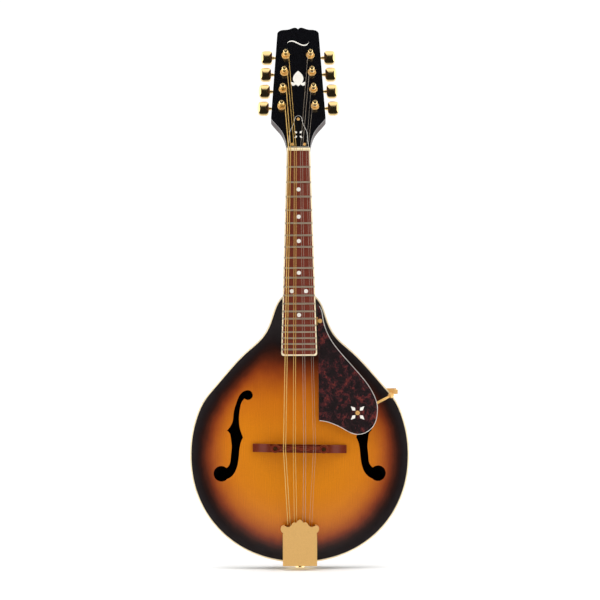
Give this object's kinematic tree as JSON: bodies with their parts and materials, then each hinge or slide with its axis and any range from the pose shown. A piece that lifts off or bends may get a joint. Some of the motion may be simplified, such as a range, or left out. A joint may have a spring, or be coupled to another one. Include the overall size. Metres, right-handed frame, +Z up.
{
  "type": "mandolin",
  "caption": "Arched-top mandolin with f-holes, raised pickguard, geared tuners, height-adjustable bridge and sliding tailpiece cover.",
  "frame": {"origin": "on the centreline where the strings leave the nut, which is where a hanger or a stand's yoke holds the neck under the headstock", "axes": "+X to the right of somebody facing the soundboard, +Y from the soundboard to the back, +Z up the neck"},
  "size_m": [0.2654, 0.1122, 0.6626],
  "materials": {
    "sunburst_spruce": "sunburst lacquer, gloss",
    "sunburst_maple": "dark sunburst lacquer, gloss",
    "cream_binding": "celluloid, lacquered",
    "plain_wood": "unfinished",
    "stained_neck": "dark stain under gloss lacquer",
    "black_plastic": "gloss, pale bevelled edge",
    "black_lacquer": "gloss black headplate",
    "steel": "plain",
    "brass": "plain",
    "bone": "polished",
    "rosewood": "oiled, open grain",
    "fret_wire": "polished nickel silver",
    "pearl": "pearl",
    "gold": "gold plated, polished",
    "pale_gold": "pale gold plated, satin",
    "tortoise": "tortoise celluloid",
    "white_ply": "white ply",
    "bronze_string": "wound",
    "plain_string": "plain wire"
  },
  "bodies": {
    "instrument": {"soundboard": "sunburst_spruce", "back_plate": "sunburst_maple", "body_binding": "cream_binding", "rim": "sunburst_maple", "neck_block": "plain_wood", "tail_block": "plain_wood", "kerfed_linings": "plain_wood", "tone_bars": "plain_wood", "neck": "stained_neck", "heel_cap": "black_plastic", "truss_rod": "steel", "nut": "bone", "fretboard": "rosewood", "fretboard_binding": "cream_binding", "frets": "fret_wire", "position_markers": "pearl", "headstock_overlay": "black_lacquer", "headstock_inlay": "pearl", "truss_rod_cover": "black_plastic", "truss_cover_ply": "white_ply", "truss_cover_screws": "gold", "tuner_plate_bass": "gold", "tuner_plate_treble": "gold", "tuner_plate_screws": "gold", "tuner_bushings": "gold", "bridge_foot": "rosewood", "bridge_studs": "brass", "tailpiece_base": "gold", "tailpiece_screws": "gold", "strap_button": "gold", "pickguard": "tortoise", "pickguard_ply": "white_ply", "pickguard_screws": "gold", "pickguard_bracket": "gold", "string_pair_g": "bronze_string", "string_pair_d": "bronze_string", "string_pair_a": "plain_string", "string_pair_e": "plain_string"},
    "tuner_key_bass_1": {"tuner_key_bass_1": "gold"},
    "tuner_key_bass_2": {"tuner_key_bass_2": "gold"},
    "tuner_key_bass_3": {"tuner_key_bass_3": "gold"},
    "tuner_key_bass_4": {"tuner_key_bass_4": "gold"},
    "tuner_key_treble_1": {"tuner_key_treble_1": "gold"},
    "tuner_key_treble_2": {"tuner_key_treble_2": "gold"},
    "tuner_key_treble_3": {"tuner_key_treble_3": "gold"},
    "tuner_key_treble_4": {"tuner_key_treble_4": "gold"},
    "tuner_post_bass_1": {"tuner_post_bass_1": "gold"},
    "tuner_post_bass_2": {"tuner_post_bass_2": "gold"},
    "tuner_post_bass_3": {"tuner_post_bass_3": "gold"},
    "tuner_post_bass_4": {"tuner_post_bass_4": "gold"},
    "tuner_post_treble_1": {"tuner_post_treble_1": "gold"},
    "tuner_post_treble_2": {"tuner_post_treble_2": "gold"},
    "tuner_post_treble_3": {"tuner_post_treble_3": "gold"},
    "tuner_post_treble_4": {"tuner_post_treble_4": "gold"},
    "saddle": {"bridge_saddle": "rosewood"},
    "thumbwheel_bass": {"thumbwheel_bass": "brass"},
    "thumbwheel_treble": {"thumbwheel_treble": "brass"},
    "cover": {"tailpiece_cover": "pale_gold"},
    "truss_nut": {"truss_rod_nut": "brass"}
  },
  "joints": [
    {"name": "key_turn_bass_1", "type": "hinge", "parent": "instrument", "child": "tuner_key_bass_1", "pos_m": [-0.02035, 0.04292, 0.05404], "axis": [1, 0, 0], "continuous": true},
    {"name": "post_turn_bass_1", "type": "hinge", "parent": "instrument", "child": "tuner_post_bass_1", "pos_m": [-0.02035, 0.02142, 0.05523], "axis": [0, -0.9336, 0.3584], "continuous": true},
    {"name": "key_turn_bass_2", "type": "hinge", "parent": "instrument", "child": "tuner_key_bass_2", "pos_m": [-0.01863, 0.05116, 0.07551], "axis": [1, 0, 0], "continuous": true},
    {"name": "post_turn_bass_2", "type": "hinge", "parent": "instrument", "child": "tuner_post_bass_2", "pos_m": [-0.01863, 0.02966, 0.0767], "axis": [0, -0.9336, 0.3584], "continuous": true},
    {"name": "key_turn_bass_3", "type": "hinge", "parent": "instrument", "child": "tuner_key_bass_3", "pos_m": [-0.01691, 0.05941, 0.09699], "axis": [1, 0, 0], "continuous": true},
    {"name": "post_turn_bass_3", "type": "hinge", "parent": "instrument", "child": "tuner_post_bass_3", "pos_m": [-0.01691, 0.0379, 0.09817], "axis": [0, -0.9336, 0.3584], "continuous": true},
    {"name": "key_turn_bass_4", "type": "hinge", "parent": "instrument", "child": "tuner_key_bass_4", "pos_m": [-0.01519, 0.06765, 0.11846], "axis": [1, 0, 0], "continuous": true},
    {"name": "post_turn_bass_4", "type": "hinge", "parent": "instrument", "child": "tuner_post_bass_4", "pos_m": [-0.01519, 0.04615, 0.11964], "axis": [0, -0.9336, 0.3584], "continuous": true},
    {"name": "key_turn_treble_1", "type": "hinge", "parent": "instrument", "child": "tuner_key_treble_1", "pos_m": [0.02035, 0.04292, 0.05404], "axis": [1, 0, 0], "continuous": true},
    {"name": "post_turn_treble_1", "type": "hinge", "parent": "instrument", "child": "tuner_post_treble_1", "pos_m": [0.02035, 0.02142, 0.05523], "axis": [0, -0.9336, 0.3584], "continuous": true},
    {"name": "key_turn_treble_2", "type": "hinge", "parent": "instrument", "child": "tuner_key_treble_2", "pos_m": [0.01863, 0.05116, 0.07551], "axis": [1, 0, 0], "continuous": true},
    {"name": "post_turn_treble_2", "type": "hinge", "parent": "instrument", "child": "tuner_post_treble_2", "pos_m": [0.01863, 0.02966, 0.0767], "axis": [0, -0.9336, 0.3584], "continuous": true},
    {"name": "key_turn_treble_3", "type": "hinge", "parent": "instrument", "child": "tuner_key_treble_3", "pos_m": [0.01691, 0.05941, 0.09699], "axis": [1, 0, 0], "continuous": true},
    {"name": "post_turn_treble_3", "type": "hinge", "parent": "instrument", "child": "tuner_post_treble_3", "pos_m": [0.01691, 0.0379, 0.09817], "axis": [0, -0.9336, 0.3584], "continuous": true},
    {"name": "key_turn_treble_4", "type": "hinge", "parent": "instrument", "child": "tuner_key_treble_4", "pos_m": [0.01519, 0.06765, 0.11846], "axis": [1, 0, 0], "continuous": true},
    {"name": "post_turn_treble_4", "type": "hinge", "parent": "instrument", "child": "tuner_post_treble_4", "pos_m": [0.01519, 0.04615, 0.11964], "axis": [0, -0.9336, 0.3584], "continuous": true},
    {"name": "saddle_height", "type": "slide", "parent": "instrument", "child": "saddle", "axis": [0, -1, 0], "range_m": [0, 0.003], "deforming": ["string_pair_g", "string_pair_d", "string_pair_a", "string_pair_e"]},
    {"name": "thumbwheel_turn_bass", "type": "hinge", "parent": "saddle", "child": "thumbwheel_bass", "pos_m": [-0.0292, -0.0272, -0.35929], "axis": [0, -1, 0], "range_deg": [0, 1543.9]},
    {"name": "thumbwheel_turn_treble", "type": "hinge", "parent": "saddle", "child": "thumbwheel_treble", "pos_m": [0.0292, -0.0272, -0.36031], "axis": [0, -1, 0], "range_deg": [0, 1543.9]},
    {"name": "cover_slide", "type": "slide", "parent": "instrument", "child": "cover", "axis": [0, 0, -1], "range_m": [0, 0.06]},
    {"name": "truss_nut_turn", "type": "hinge", "parent": "instrument", "child": "truss_nut", "pos_m": [0, 0.01019, 0.01316], "axis": [0, 0.0872, 0.9962], "range_deg": [-90, 90]}
  ],
  "couplings": [
    {"joint": "post_turn_bass_1", "follows": "key_turn_bass_1", "ratio": 0.066667},
    {"joint": "post_turn_bass_2", "follows": "key_turn_bass_2", "ratio": 0.066667},
    {"joint": "post_turn_bass_3", "follows": "key_turn_bass_3", "ratio": 0.066667},
    {"joint": "post_turn_bass_4", "follows": "key_turn_bass_4", "ratio": 0.066667},
    {"joint": "post_turn_treble_1", "follows": "key_turn_treble_1", "ratio": 0.066667},
    {"joint": "post_turn_treble_2", "follows": "key_turn_treble_2", "ratio": 0.066667},
    {"joint": "post_turn_treble_3", "follows": "key_turn_treble_3", "ratio": 0.066667},
    {"joint": "post_turn_treble_4", "follows": "key_turn_treble_4", "ratio": 0.066667},
    {"joint": "thumbwheel_turn_bass", "follows": "saddle_height", "rad_per_m": 8976},
    {"joint": "thumbwheel_turn_treble", "follows": "saddle_height", "rad_per_m": 8976}
  ]
}
